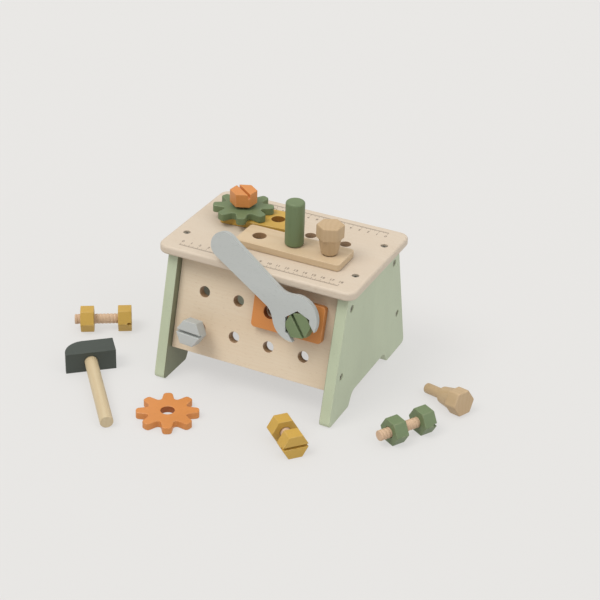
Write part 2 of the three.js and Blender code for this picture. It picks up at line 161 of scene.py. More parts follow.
def add_bar(
    name: str, radius: float, low: float, high: float, sides: int = 48
) -> bpy.types.Object:
    """Adds an upright bar round the Z axis.

    Args:
        name: The object's name.
        radius: Radius over the corners, in millimetres.
        low: Height of its lower end, in millimetres.
        high: Height of its upper end, in millimetres.
        sides: How many sides it has.

    Returns:
        The new object.
    """
    bpy.ops.object.select_all(action="DESELECT")
    bpy.ops.mesh.primitive_cylinder_add(
        vertices=sides,
        radius=radius * MM,
        depth=(high - low) * MM,
        location=(0, 0, (low + high) / 2 * MM),
    )
    obj = bpy.context.object
    obj.name = name
    settle_transform(obj)
    return obj


def settle_transform(obj: bpy.types.Object) -> None:
    """Moves an object's place, turn and scale into its mesh.

    Args:
        obj: The object, which ends at the origin, unturned and unscaled.
    """
    activate(obj)
    bpy.ops.object.transform_apply(location=True, rotation=True, scale=True)


def turn_by(obj: bpy.types.Object, matrix: Matrix) -> bpy.types.Object:
    """Turns and moves an object's mesh.

    Args:
        obj: The object.
        matrix: The change of place, in metres.

    Returns:
        The same object.
    """
    obj.matrix_world = matrix
    settle_transform(obj)
    return obj


def shift(x: float = 0, y: float = 0, z: float = 0) -> Matrix:
    """A move by some millimetres.

    Args:
        x: Millimetres along X.
        y: Millimetres along Y.
        z: Millimetres along Z.

    Returns:
        The move, in metres.
    """
    return Matrix.Translation(Vector((x, y, z)) * MM)


def spin(degrees: float, axis: str) -> Matrix:
    """A turn about an axis through the origin.

    Args:
        degrees: How far it turns.
        axis: X, Y or Z.

    Returns:
        The turn.
    """
    return Matrix.Rotation(math.radians(degrees), 4, axis)


def copy_of(obj: bpy.types.Object, name: str) -> bpy.types.Object:
    """Copies an object, with a mesh of its own.

    Args:
        obj: The object.
        name: The copy's name.

    Returns:
        The copy.
    """
    activate(obj)
    bpy.ops.object.duplicate()
    twin = bpy.context.object
    twin.name = name
    return twin


def merge(objects: Sequence[bpy.types.Object]) -> bpy.types.Object:
    """Puts several objects into the first one's mesh.

    Args:
        objects: The objects. All but the first are used up.

    Returns:
        The first object.
    """
    activate(objects[0])
    for obj in objects:
        obj.select_set(True)
    if len(objects) > 1:
        bpy.ops.object.join()
    return bpy.context.object


def apply_modifier(obj: bpy.types.Object, kind: str, **settings: object) -> None:
    """Adds a modifier, sets it up and applies it.

    Args:
        obj: The object to change.
        kind: The modifier's type.
        **settings: Its properties.
    """
    activate(obj)
    modifier = obj.modifiers.new(kind.lower(), kind)
    for key, value in settings.items():
        setattr(modifier, key, value)
    bpy.ops.object.modifier_apply(modifier=modifier.name)


def combine(
    obj: bpy.types.Object, tools: Sequence[bpy.types.Object], operation: str = "DIFFERENCE"
) -> bpy.types.Object:
    """Cuts tools out of an object, or fuses them to it.

    Args:
        obj: The object to change.
        tools: Solids that don't overlap each other. They are used up.
        operation: DIFFERENCE, UNION or INTERSECT.

    Returns:
        The changed object.
    """
    tool = merge(tools)
    apply_modifier(obj, "BOOLEAN", operation=operation, object=tool, solver="EXACT")
    bpy.data.objects.remove(tool)
    return obj


def round_edges(
    obj: bpy.types.Object,
    test: Callable[[bmesh.types.BMEdge], bool],
    radius: float,
    segments: int = 6,
) -> None:
    """Rounds the edges that pass a test.

    Args:
        obj: The object to change.
        test: Says whether an edge is rounded.
        radius: Radius in millimetres.
        segments: Steps in the round.
    """
    with editing(obj) as mesh:
        pick(mesh.edges, test)
        bpy.ops.mesh.bevel(offset=radius * MM, segments=segments, affect="EDGES")


def ease(obj: bpy.types.Object, width: float, segments: int = 3) -> None:
    """Eases every sharp edge and marks the eased faces for the finish, then smooths the shading.

    Args:
        obj: The object to change.
        width: Width of the eased edge, in millimetres.
        segments: Steps in the round.
    """
    plain, eased = 0, 1
    for _ in (plain, eased):
        obj.data.materials.append(None)
    apply_modifier(
        obj,
        "BEVEL",
        width=width * MM,
        segments=segments,
        limit_method="ANGLE",
        angle_limit=math.radians(32),
        material=eased,
    )
    mark = obj.data.attributes.new("eased", "FLOAT", "FACE")
    mark.data.foreach_set("value", [float(p.material_index) for p in obj.data.polygons])
    obj.data.polygons.foreach_set("material_index", [plain] * len(obj.data.polygons))
    obj.data.materials.clear()
    smooth(obj)


def mark_bores(obj: bpy.types.Object, bores: Sequence[Matrix], radius: float) -> None:
    """Marks the walls of holes for painted shade, a darker colour standing in for the shade inside
    them.

    Args:
        obj: The object, in its own frame.
        bores: A matrix for each hole, whose Z axis is the hole's axis.
        radius: The holes' radius, in millimetres.
    """
    inverses = [bore.inverted() for bore in bores]

    def is_wall(face: bpy.types.MeshPolygon) -> float:
        """Whether a face belongs to a hole's wall.

        Args:
            face: The face.

        Returns:
            1 if it does, else 0.
        """
        for inverse in inverses:
            centre = inverse @ face.center
            normal = inverse.to_3x3() @ face.normal
            if abs(normal.z) < 0.3 and centre.xy.length < (radius + 0.1) * MM:
                return 1.0
        return 0.0

    mark_dull(obj, is_wall)


def mark_dull(obj: bpy.types.Object, share: Callable) -> None:
    """Marks the faces where the finish is duller.

    Args:
        obj: The object.
        share: Takes a face and says how much painted shade it gets, from 0 to 1.
    """
    mark = obj.data.attributes.new("painted_shade", "FLOAT", "FACE")
    mark.data.foreach_set("value", [share(face) for face in obj.data.polygons])


def smooth(obj: bpy.types.Object, degrees: float = 40) -> None:
    """Smooths the shading up to an angle, with flat faces kept flat.

    Args:
        obj: The object to shade.
        degrees: Edges sharper than this stay sharp.
    """
    activate(obj)
    bpy.ops.object.shade_smooth_by_angle(angle=math.radians(degrees))
    apply_modifier(obj, "WEIGHTED_NORMAL", weight=90, keep_sharp=True)


def box_centre(obj: bpy.types.Object) -> Vector:
    """The middle of a mesh's box.

    Args:
        obj: The object.

    Returns:
        The middle, in metres.
    """
    points = [v.co for v in obj.data.vertices]
    low = Vector(min(p[i] for p in points) for i in range(3))
    high = Vector(max(p[i] for p in points) for i in range(3))
    return (low + high) / 2


def node_centre(node: str) -> Vector:
    """The middle of a CAD node's box.

    Args:
        node: The node's name.

    Returns:
        The middle, in metres.
    """
    low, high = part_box(node)
    return (low + high) / 2


# ---- shader graphs ------------------------------------------------------------------------


class Graph:
    """Adds and links nodes in one node tree."""

    def __init__(self, tree: bpy.types.NodeTree) -> None:
        """Starts on a tree.

        Args:
            tree: The node tree.
        """
        self.tree = tree

    def add(self, kind: str, inputs: dict | None = None, **settings: object) -> bpy.types.Node:
        """Adds a node.

        Args:
            kind: The node's type.
            inputs: Values or sockets for its inputs, by name or number.
            **settings: The node's properties.

        Returns:
            The node.
        """
        node = self.tree.nodes.new(kind)
        for key, value in settings.items():
            setattr(node, key, value)
        for key, value in (inputs or {}).items():
            self.feed(node.inputs[key], value)
        return node

    def feed(self, socket: bpy.types.NodeSocket, value: object) -> None:
        """Links a socket to another, or sets its value.

        Args:
            socket: The input socket.
            value: An output socket to link, or a plain value to set.
        """
        if isinstance(value, bpy.types.NodeSocket):
            self.tree.links.new(value, socket)
        else:
            socket.default_value = value

    def math(self, operation: str, a: object, b: object = 0.0) -> bpy.types.NodeSocket:
        """One sum of two values.

        Args:
            operation: The Math node's operation.
            a: First value or socket.
            b: Second value or socket.

        Returns:
            The result's socket.
        """
        return self.add("ShaderNodeMath", {0: a, 1: b}, operation=operation).outputs[0]

    def stretch(self, vector: object, scale: Sequence[float]) -> bpy.types.NodeSocket:
        """A vector multiplied by a scale for each axis.

        Args:
            vector: The vector's socket.
            scale: The three scales.

        Returns:
            The result's socket.
        """
        node = self.add("ShaderNodeVectorMath", {0: vector, 1: tuple(scale)}, operation="MULTIPLY")
        return node.outputs[0]

    def noise(self, vector: object, scale: float, detail: float = 2.0) -> bpy.types.NodeSocket:
        """Soft noise from 0 to 1.

        Args:
            vector: The coordinates' socket.
            scale: Features in a metre.
            detail: How much finer noise is added.

        Returns:
            The noise's socket.
        """
        node = self.add(
            "ShaderNodeTexNoise", {"Vector": vector, "Scale": scale, "Detail": detail}
        )
        return node.outputs["Fac"]

    def ramp(self, value: object, low: float, high: float) -> bpy.types.NodeSocket:
        """Spreads a value smoothly from 0 to 1.

        Args:
            value: The value's socket.
            low: Where the result is 0.
            high: Where the result is 1.

        Returns:
            The result's socket.
        """
        inputs = {"Value": value, "From Min": low, "From Max": high}
        return self.add("ShaderNodeMapRange", inputs, interpolation_type="SMOOTHSTEP").outputs[0]

    def blend(self, factor: object, a: object, b: object, how: str = "MIX") -> bpy.types.NodeSocket:
        """A mix of two colours.

        Args:
            factor: Share of the second colour.
            a: First colour or socket.
            b: Second colour or socket.
            how: The blend mode.

        Returns:
            The colour's socket.
        """
        node = self.add("ShaderNodeMix", data_type="RGBA", blend_type=how)
        for socket, value in zip((node.inputs[0], node.inputs[6], node.inputs[7]), (factor, a, b)):
            self.feed(socket, value)
        return node.outputs[2]


def new_group(name: str, inputs: dict[str, str], outputs: dict[str, str]) -> Graph:
    """Makes an empty shader node group.

    Args:
        name: The group's name.
        inputs: Socket types by input name.
        outputs: Socket types by output name.

    Returns:
        A graph on the group's tree, with its input and output nodes in it.
    """
    tree = bpy.data.node_groups.new(name, "ShaderNodeTree")
    for way, sockets in (("INPUT", inputs), ("OUTPUT", outputs)):
        for socket, kind in sockets.items():
            tree.interface.new_socket(socket, in_out=way, socket_type=kind)
    tree.nodes.new("NodeGroupInput")
    tree.nodes.new("NodeGroupOutput")
    return Graph(tree)


def wood_grain_group() -> bpy.types.NodeTree:
    """Beech grain along X: year rings, fibres, short flecks and slow changes of tone.

    Returns:
        The group, with outputs Rings, Fibre, Fleck, Tone and Height, each from 0 to 1.
    """
    found = bpy.data.node_groups.get("wood_grain")
    if found:
        return found
    value = "NodeSocketFloat"
    names = ("Rings", "Fibre", "Fleck", "Tone", "Height")
    graph = new_group(
        "wood_grain", {"Vector": "NodeSocketVector"}, {name: value for name in names}
    )
    spot = graph.tree.nodes["Group Input"].outputs["Vector"]
    warp = graph.noise(graph.stretch(spot, (0.22, 1, 1)), 16, 3)
    heart = graph.add("ShaderNodeVectorMath", {0: spot, 1: (0, 0.035, 0.09)}, operation="ADD")
    across = graph.stretch(heart.outputs[0], (0, 1, 1))
    radius = graph.add("ShaderNodeVectorMath", {0: across}, operation="LENGTH").outputs["Value"]
    bent = graph.math("MULTIPLY_ADD", warp, 0.02)
    bent.node.inputs[2].default_value = 0
    graph.feed(bent.node.inputs[2], radius)
    wave = graph.math("SINE", graph.math("MULTIPLY", bent, 2 * math.pi / 0.0042))
    rings = graph.math("POWER", graph.ramp(wave, -1.0, 1.0), 1.8)
    fibre = graph.noise(graph.stretch(spot, (0.035, 1, 1)), 1100, 3)
    dashes = graph.noise(graph.stretch(spot, (0.16, 1, 0.7)), 1500, 1)
    fleck = graph.ramp(dashes, 0.63, 0.72)
    tone = graph.noise(graph.stretch(spot, (0.4, 1, 1)), 22, 3)
    rough = graph.math("SUBTRACT", graph.math("MULTIPLY", fibre, 0.8), fleck)
    height = graph.math("ADD", rough, graph.math("MULTIPLY", rings, 0.3))
    out = graph.tree.nodes["Group Output"]
    for name, socket in zip(names, (rings, fibre, fleck, tone, height)):
        graph.feed(out.inputs[name], socket)
    return graph.tree


def edge_wear_group() -> bpy.types.NodeTree:
    """Thin paint along eased edges.

    Returns:
        The group, with input Vector and outputs Thin, from 0 to 1, and Rim, which is 1 there.
    """
    found = bpy.data.node_groups.get("edge_wear")
    if found:
        return found
    graph = new_group(
        "edge_wear",
        {"Vector": "NodeSocketVector"},
        {"Thin": "NodeSocketFloat", "Rim": "NodeSocketFloat"},
    )
    spot = graph.tree.nodes["Group Input"].outputs["Vector"]
    rim = graph.add("ShaderNodeAttribute", attribute_name="eased").outputs["Fac"]
    patches = graph.ramp(graph.noise(spot, 170, 4), 0.42, 0.72)
    out = graph.tree.nodes["Group Output"]
    graph.feed(out.inputs["Thin"], graph.math("MULTIPLY", rim, patches))
    graph.feed(out.inputs["Rim"], rim)
    return graph.tree


def dull_group() -> bpy.types.NodeTree:
    """Paints shade: darkens a colour in holes and on inner faces, where less light falls.

    Returns:
        The group, with inputs Color and Tint and output Color.
    """
    found = bpy.data.node_groups.get("painted_shade_parts")
    if found:
        return found
    graph = new_group(
        "painted_shade_parts",
        {"Color": "NodeSocketColor", "Tint": "NodeSocketColor"},
        {"Color": "NodeSocketColor"},
    )
    given = graph.tree.nodes["Group Input"].outputs
    # painted shade: how much of it each face gets, from 0 to 1
    share = graph.add("ShaderNodeAttribute", attribute_name="painted_shade").outputs["Fac"]
    dark = graph.blend(share, given["Color"], given["Tint"], "MULTIPLY")
    graph.feed(graph.tree.nodes["Group Output"].inputs["Color"], dark)
    return graph.tree


@dataclass(frozen=True)
class Finish:
    """A finish: the record's slot that it belongs to, and how its material is built."""

    slot: str

    def material(self, name: str, centre: Vector, turn: Matrix) -> bpy.types.Material:
        """Builds the material for one piece.

        Args:
            name: The material's name.
            centre: The piece's middle, which the pattern is centred on, in metres.
            turn: The turn from the grain's frame to the row's frame.

        Returns:
            The material.
        """
        material = bpy.data.materials.new(name)
        material.use_nodes = True
        tree = material.node_tree
        tree.nodes.clear()
        graph = Graph(tree)
        coordinates = graph.add("ShaderNodeTexCoord").outputs["Object"]
        mapping = graph.add(
            "ShaderNodeMapping",
            {"Vector": coordinates, "Location": centre, "Rotation": turn.to_euler()},
            vector_type="TEXTURE",
        )
        shader = graph.add("ShaderNodeBsdfPrincipled")
        graph.add("ShaderNodeOutputMaterial", {"Surface": shader.outputs[0]})
        self.dress(graph, shader, mapping.outputs[0])
        return material

    def dress(self, graph: Graph, shader: bpy.types.Node, spot: bpy.types.NodeSocket) -> None:
        """Feeds the shader. Each finish has its own.

        Args:
            graph: The material's graph.
            shader: Its Principled BSDF.
            spot: The mapped coordinates.
        """
        raise NotImplementedError

    @staticmethod
    def shade_dull(
        graph: Graph, colour: object, tint: tuple[float, float, float]
    ) -> bpy.types.NodeSocket:
        """Paints shade: darkens a colour in holes and on inner faces.

        Args:
            graph: The material's graph.
            colour: The colour's socket.
            tint: What the colour is multiplied by there.

        Returns:
            The new colour's socket.
        """
        shade = graph.add("ShaderNodeGroup", node_tree=dull_group())
        graph.feed(shade.inputs["Color"], colour)
        graph.feed(shade.inputs["Tint"], (*tint, 1))
        return shade.outputs["Color"]

    @staticmethod
    def add_bump(graph: Graph, shader: bpy.types.Node, height: object, depth: float) -> None:
        """Gives the shader a bump.

        Args:
            graph: The material's graph.
            shader: Its Principled BSDF.
            height: The height's socket.
            depth: The bump's depth, in millimetres.
        """
        bump = graph.add(
            "ShaderNodeBump", {"Height": height, "Strength": 0.6, "Distance": depth * MM}
        )
        graph.feed(shader.inputs["Normal"], bump.outputs["Normal"])


@dataclass(frozen=True)
class ClearWood(Finish):
    """Sanded wood under a thin matt lacquer."""

    light: tuple[float, float, float] = (0.76, 0.64, 0.48)
    dark: tuple[float, float, float] = (0.66, 0.50, 0.34)
    fleck: tuple[float, float, float] = (0.45, 0.29, 0.17)
    hollow: tuple[float, float, float] = (0.62, 0.50, 0.40)  # painted shade: multiplies the colour in holes
    figure: float = 0.25  # how strongly the rings show
    streaks: float = 0.2  # how strongly the fibres show
    blotch: float = 0.35  # how strongly the tone wanders
    roughness: float = 0.52

    def dress(self, graph: Graph, shader: bpy.types.Node, spot: bpy.types.NodeSocket) -> None:
        """Lays rings, tone and flecks over the wood's colour.

        Args:
            graph: The material's graph.
            shader: Its Principled BSDF.
            spot: The mapped coordinates.
        """
        grain = graph.add("ShaderNodeGroup", node_tree=wood_grain_group())
        graph.feed(grain.inputs["Vector"], spot)
        part = grain.outputs
        share = graph.math("MULTIPLY", part["Rings"], self.figure)
        colour = graph.blend(share, (*self.light, 1), (*self.dark, 1))
        streak = graph.math("MULTIPLY", graph.ramp(part["Fibre"], 0.35, 0.75), self.streaks)
        colour = graph.blend(streak, colour, (*self.dark, 1))
        shade = graph.math("MULTIPLY", graph.ramp(part["Tone"], 0.3, 0.75), self.blotch)
        colour = graph.blend(shade, colour, (*self.dark, 1))
        spots = graph.math("MULTIPLY", part["Fleck"], 0.22)
        colour = graph.blend(spots, colour, (*self.fleck, 1))
        # painted shade darkens the colour in holes
        graph.feed(shader.inputs["Base Color"], self.shade_dull(graph, colour, self.hollow))
        rough = graph.math("MULTIPLY_ADD", part["Fibre"], 0.12)
        rough.node.inputs[2].default_value = self.roughness - 0.06
        graph.feed(shader.inputs["Roughness"], rough)
        shader.inputs["Specular IOR Level"].default_value = 0.35
        self.add_bump(graph, shader, part["Height"], 0.08)


@dataclass(frozen=True)
class PaintedWood(Finish):
    """Satin paint on wood, with the grain just telling and thin paint on the edges."""

    colour: tuple[float, float, float] = (0.4, 0.5, 0.3)
    primer: tuple[float, float, float] = (0.70, 0.62, 0.46)
    hollow: tuple[float, float, float] = (0.55, 0.40, 0.30)  # painted shade: multiplies the colour in holes and on inner faces
    roughness: float = 0.46

    def dress(self, graph: Graph, shader: bpy.types.Node, spot: bpy.types.NodeSocket) -> None:
        """Lays mottle, grain and thin edges over the paint's colour.

        Args:
            graph: The material's graph.
            shader: Its Principled BSDF.
            spot: The mapped coordinates.
        """
        grain = graph.add("ShaderNodeGroup", node_tree=wood_grain_group())
        graph.feed(grain.inputs["Vector"], spot)
        wear = graph.add("ShaderNodeGroup", node_tree=edge_wear_group())
        graph.feed(wear.inputs["Vector"], spot)
        part = grain.outputs
        deep = tuple(c * 0.86 for c in self.colour)
        pale = tuple(min(1.0, c * 1.08 + 0.01) for c in self.colour)
        colour = graph.blend(part["Tone"], (*pale, 1), (*deep, 1))
        lines = graph.math("MULTIPLY", graph.ramp(part["Rings"], 0.5, 1.0), 0.05)
        colour = graph.blend(lines, colour, (*deep, 1))
        pores = graph.math("MULTIPLY", part["Fleck"], 0.25)
        colour = graph.blend(pores, colour, tuple([*(c * 0.6 for c in self.colour), 1]))
        thin = graph.math("MULTIPLY", wear.outputs["Thin"], 0.12)
        colour = graph.blend(thin, colour, (*self.primer, 1))
        # painted shade darkens the colour in holes and on inner faces
        graph.feed(shader.inputs["Base Color"], self.shade_dull(graph, colour, self.hollow))
        rough = graph.math("MULTIPLY_ADD", part["Fibre"], 0.14)
        rough.node.inputs[2].default_value = self.roughness - 0.07
        graph.feed(shader.inputs["Roughness"], rough)
        shader.inputs["Specular IOR Level"].default_value = 0.4
        self.add_bump(graph, shader, part["Height"], 0.05)


@dataclass(frozen=True)
class ScrewSteel(Finish):
    """Dark zinc on a steel screw."""

    colour: tuple[float, float, float] = (0.27, 0.25, 0.21)

    def dress(self, graph: Graph, shader: bpy.types.Node, spot: bpy.types.NodeSocket) -> None:
        """Mottles the zinc.

        Args:
            graph: The material's graph.
            shader: Its Principled BSDF.
            spot: The mapped coordinates.
        """
        cloud = graph.noise(spot, 900, 3)
        pale = tuple(c * 1.6 for c in self.colour)
        graph.feed(
            shader.inputs["Base Color"], graph.blend(cloud, (*self.colour, 1), (*pale, 1))
        )
        rough = graph.math("MULTIPLY_ADD", cloud, 0.2)
        rough.node.inputs[2].default_value = 0.3
        graph.feed(shader.inputs["Roughness"], rough)
        shader.inputs["Metallic"].default_value = 1.0
        self.add_bump(graph, shader, cloud, 0.02)


@dataclass(frozen=True)
class PrintedInk(Finish):
    """Brown-grey ink, patchy where the wood's pores show through."""

    colour: tuple[float, float, float] = (0.15, 0.11, 0.085)

    def dress(self, graph: Graph, shader: bpy.types.Node, spot: bpy.types.NodeSocket) -> None:
        """Breaks the ink up a little.

        Args:
            graph: The material's graph.
            shader: Its Principled BSDF.
            spot: The mapped coordinates.
        """
        gaps = graph.math("MULTIPLY", graph.ramp(graph.noise(spot, 2600, 2), 0.45, 0.7), 0.5)
        colour = graph.blend(gaps, (*self.colour, 1), (0.45, 0.36, 0.27, 1))
        graph.feed(shader.inputs["Base Color"], colour)
        shader.inputs["Roughness"].default_value = 0.6


BOARD = ClearWood("board", light=(0.60, 0.51, 0.41), dark=(0.55, 0.44, 0.33), figure=0.12)
PANEL = ClearWood("panel", light=(0.69, 0.58, 0.44), dark=(0.63, 0.48, 0.32), figure=0.12)
BEECH = ClearWood("beech", light=(0.61, 0.475, 0.32), dark=(0.52, 0.37, 0.21))
PEG_WOOD = ClearWood("beech", light=(0.51, 0.37, 0.225), dark=(0.43, 0.29, 0.155))
HANDLE_WOOD = ClearWood("beech", light=(0.57, 0.465, 0.30), dark=(0.50, 0.375, 0.215))
SHAFT_WOOD = ClearWood("beech", light=(0.60, 0.42, 0.285), dark=(0.50, 0.33, 0.20))
# Sage's painted-shade tint darkens the side panels' inner faces.
SAGE = PaintedWood("sage", colour=(0.46, 0.51, 0.36), hollow=(0.42, 0.40, 0.36))
YELLOW = PaintedWood("yellow", colour=(0.53, 0.325, 0.06))
ORANGE = PaintedWood("orange", colour=(0.61, 0.235, 0.06))
GREEN = PaintedWood("green", colour=(0.145, 0.195, 0.092))
GREY = PaintedWood("grey", colour=(0.44, 0.455, 0.44))
SLATE = PaintedWood("slate", colour=(0.048, 0.058, 0.048), primer=(0.2, 0.2, 0.17))
STEEL = ScrewSteel("steel")
INK = PrintedInk("board")


# ---- pieces -------------------------------------------------------------------------------


def hand_over(
    obj: bpy.types.Object,
    body: str,
    nodes: Sequence[str],
    finish: Finish,
    turn: Matrix | None = None,
    grain: Grain = Grain.ALONG_X,
    origin: Vector | None = None,
) -> bpy.types.Object:
    """Turns a finished piece, sets it in its CAD node's place and gives it its finish.

    Args:
        obj: The piece in its own frame.
        body: The CAD body that it rides on.
        nodes: The CAD nodes that it stands for. Its place comes from the first.
        finish: Its finish.
        turn: Its turn in the row's frame.
        grain: The way its grain runs in its own frame.
        origin: Where its own origin goes. Without it, the box's middle goes to the node's.

    Returns:
        The piece.
    """
    turn = turn or Matrix.Identity(4)
    turn_by(obj, turn)
    centre = origin or node_centre(nodes[0])
    turn_by(obj, Matrix.Translation(centre - (Vector() if origin else box_centre(obj))))
    grain_turn = Euler([math.radians(a) for a in grain.value]).to_matrix().to_4x4()
    name = obj.name
    obj.data.materials.append(finish.material(f"{name}_finish", centre, turn @ grain_turn))
    obj.data.name = name
    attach(obj, body)
    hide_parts(*nodes)
    log.info("%s: %d faces", name, len(obj.data.polygons))
    return obj


@dataclass
class ScrewSet:
    """Countersunk screws with a cross recess, modelled once and copied."""

    head: float = 7.0
    length: float = 30.0
    shank: float = 3.4
    cone: float = 2.2
    rim: float = 0.4
    recess: float = 1.6  # depth of the cross
    reach: float = 0.3  # half length of the cross's arms, as a share of the head
    slit: float = 0.42  # half width of its arms
    edge: float = 0.12
    twist: float = 31  # each screw stops at another angle

    def model(self) -> bpy.types.Object:
        """Models one screw, its head up, the head's face at the origin.

        Returns:
            The screw.
        """
        obj = add_bar("screw", self.shank / 2, -self.length, -self.cone - self.rim, 24)
        steps = ((self.cone, self.head / self.shank), (self.rim, 1.0))
        with editing(obj, "FACE") as mesh:
            pick(mesh.faces, lambda f: f.normal.z > 0.9)
            for rise, grow in steps:
                bpy.ops.mesh.extrude_region_move(
                    TRANSFORM_OT_translate={"value": (0, 0, rise * MM)}
                )
                bpy.ops.transform.resize(value=(grow, grow, 1), center_override=(0, 0, 0))
        arm = self.head * self.reach
        bars = [
            add_box(f"arm_{i}", (-a, -b, -self.recess), (a, b, 1))
            for i, (a, b) in enumerate(((arm, self.slit), (self.slit, arm)))
        ]
        cross = combine(bars[0], [bars[1]], "UNION")
        combine(obj, [cross])
        ease(obj, self.edge, 2)
        return obj

    def build(self) -> None:
        """Sets a copy in the place of each CAD screw."""
        turns = {
            "top": Matrix.Identity(4),
            "left": spin(-90, "Y"),
            "right": spin(90, "Y"),
        }
        pattern = self.model()
        for way, turn in turns.items():
            for number in range(1, 5):
                twin = copy_of(pattern, f"{way}_panel_screw_{number}")
                own_turn = turn @ spin(self.twist * number, "Z")
                hand_over(twin, "bench", [f"{way}_screw_{number}"], STEEL, own_turn)
        bpy.data.objects.remove(pattern)


@dataclass
class Bench:
    """Worktop, side panels, peg-hole panels and carry rail."""

    board_size: tuple[float, float, float] = (224, 150, 10)
    board_corner: float = 12
    board_edge: float = 3
    hole: float = 12
    pitch: float = 40
    columns: int = 4
    rows: tuple[float, float] = (-20, 20)
    screw_x: float = 97
    screw_y: float = 36.6
    recess: float = 7.6
    side_thickness: float = 12
    side_foot: float = 99.64  # half the side panel's depth at the floor
    side_head: float = 64.28  # and under the worktop
    side_height: float = 137.7
    arch: tuple[float, float, float] = (42, 51, 14.3)  # half width above and below, height
    panel: tuple[float, float] = (181.4, 10)
    side_screws: tuple[float, float] = (120, 49)
    panel_rows: tuple[float, float] = (100, 61.5)
    panel_setback: float = 8.9  # behind the side panels' edges
    toe_round: tuple[float, int] = (6.5, 8)  # radius and steps at the outer corners of the feet
    heel_round: tuple[float, int] = (2, 3)  # and at their inner corners
    arch_round: tuple[float, int] = (5, 6)  # and at the top of the arch
    sink_depth: float = 6
    rail_radius: float = 8
    tenon_step: float = 3  # how much slimmer the rail's tenons are
    edge: float = 0.5
    side_edge: float = 1.0
    rail_edge: float = 0.6
    middle: Vector = field(default_factory=Vector)

    def __post_init__(self) -> None:
        """Finds the bench's middle on the floor, in millimetres."""
        low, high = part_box("top_board")
        self.middle = (low + high) / 2 / MM
        self.middle.z = 0

    def columns_x(self) -> list[float]:
        """The places of the columns of holes along the bench.

        Returns:
            Their distances from the middle, in millimetres.
        """
        return [(i - (self.columns - 1) / 2) * self.pitch for i in range(self.columns)]

    def worktop(self) -> None:
        """Models the worktop with its holes and screw recesses."""
        x, y, z = (s / 2 for s in self.board_size)
        obj = add_box("worktop", (-x, -y, -z), (x, y, z))
        round_edges(obj, lambda e: edge_runs(e, 2), self.board_corner, 10)
        round_edges(obj, lambda e: abs(edge_middle(e).z) > 0.9 * z * MM, self.board_edge, 5)
        bores = [shift(cx, cy) for cx in self.columns_x() for cy in self.rows]
        tools = [
            turn_by(add_bar("hole", self.hole / 2, -2 * z, 2 * z), bore) for bore in bores
        ]
        for sx in (-self.screw_x, self.screw_x):
            for sy in (-self.screw_y, self.screw_y):
                sink = add_bar("sink", self.recess / 2, -z - 2, 2 * z, 32)
                tools.append(turn_by(sink, shift(sx, sy)))
        combine(obj, tools)
        ease(obj, self.edge)
        # painted shade on the holes' walls
        mark_bores(obj, bores, self.hole / 2)
        hand_over(obj, "bench", ["top_board"], BOARD)

    def side_panel(self, name: str, node: str) -> None:
        """Models one side panel: leaning edges, round toes and a low arch.

        Args:
            name: The piece's name.
            node: The CAD node that it stands for.
        """
        half = self.side_thickness / 2
        obj = add_box(name, (-half, -self.side_foot, 0), (half, self.side_foot, self.side_height))
        with editing(obj, "FACE") as mesh:
            pick(mesh.faces, lambda f: f.normal.z > 0.9)
            squeeze = self.side_head / self.side_foot
            bpy.ops.transform.resize(value=(1, squeeze, 1), center_override=(0, 0, 0))
        wide, foot, height = self.arch
        tool = add_box("arch", (-2 * half, -foot, -height), (2 * half, foot, height))
        with editing(tool, "FACE") as mesh:
            pick(mesh.faces, lambda f: f.normal.z > 0.9)
            bpy.ops.transform.resize(value=(1, wide / foot, 1), center_override=(0, 0, 0))
        with editing(tool, "FACE") as mesh:
            pick(mesh.faces, lambda f: f.normal.z < -0.9)
            flare = (2 * foot - wide) / foot
            bpy.ops.transform.resize(value=(1, flare, 1), center_override=(0, 0, 0))
        arch_top = 0.9 * height * MM
        round_edges(
            tool, lambda e: edge_runs(e, 0) and edge_middle(e).z > arch_top, *self.arch_round
        )
        combine(obj, [tool])
        toe = self.side_foot * 0.97 * MM
        heel = (foot + 1) * MM
        round_edges(
            obj,
            lambda e: edge_runs(e, 0) and edge_middle(e).z < MM and abs(edge_middle(e).y) > toe,
            *self.toe_round,
        )
        round_edges(
            obj,
            lambda e: edge_runs(e, 0) and edge_middle(e).z < MM and abs(edge_middle(e).y) < heel,
            *self.heel_round,
        )
        outward = 1 if node.startswith("right") else -1
        tools = []
        for z in self.side_screws:
            y = self.panel_face(z) - self.panel[1] / 2 / math.cos(LEAN)
            for sy in (-y, y):
                low, high = half - self.sink_depth, half + self.sink_depth
                sink = add_bar("sink", self.recess / 2, low, high, 32)
                place = shift(0, sy, z) @ spin(90 * outward, "Y")
                tools.append(turn_by(sink, place))
        combine(obj, tools)
        ease(obj, self.side_edge)
        # painted shade on the inner face, where less light falls between the legs
        mark_dull(obj, lambda face: float(face.normal.x * outward < -0.7))
        hand_over(obj, "bench", [node], SAGE, grain=Grain.ALONG_Z)

    def panel_face(self, z: float) -> float:
        """Where a peg-hole panel's outer face is at a height.

        Args:
            z: The height above the floor, in millimetres.

        Returns:
            The face's distance from the bench's middle, in millimetres.
        """
        return self.side_foot - self.panel_setback - z * math.tan(LEAN)

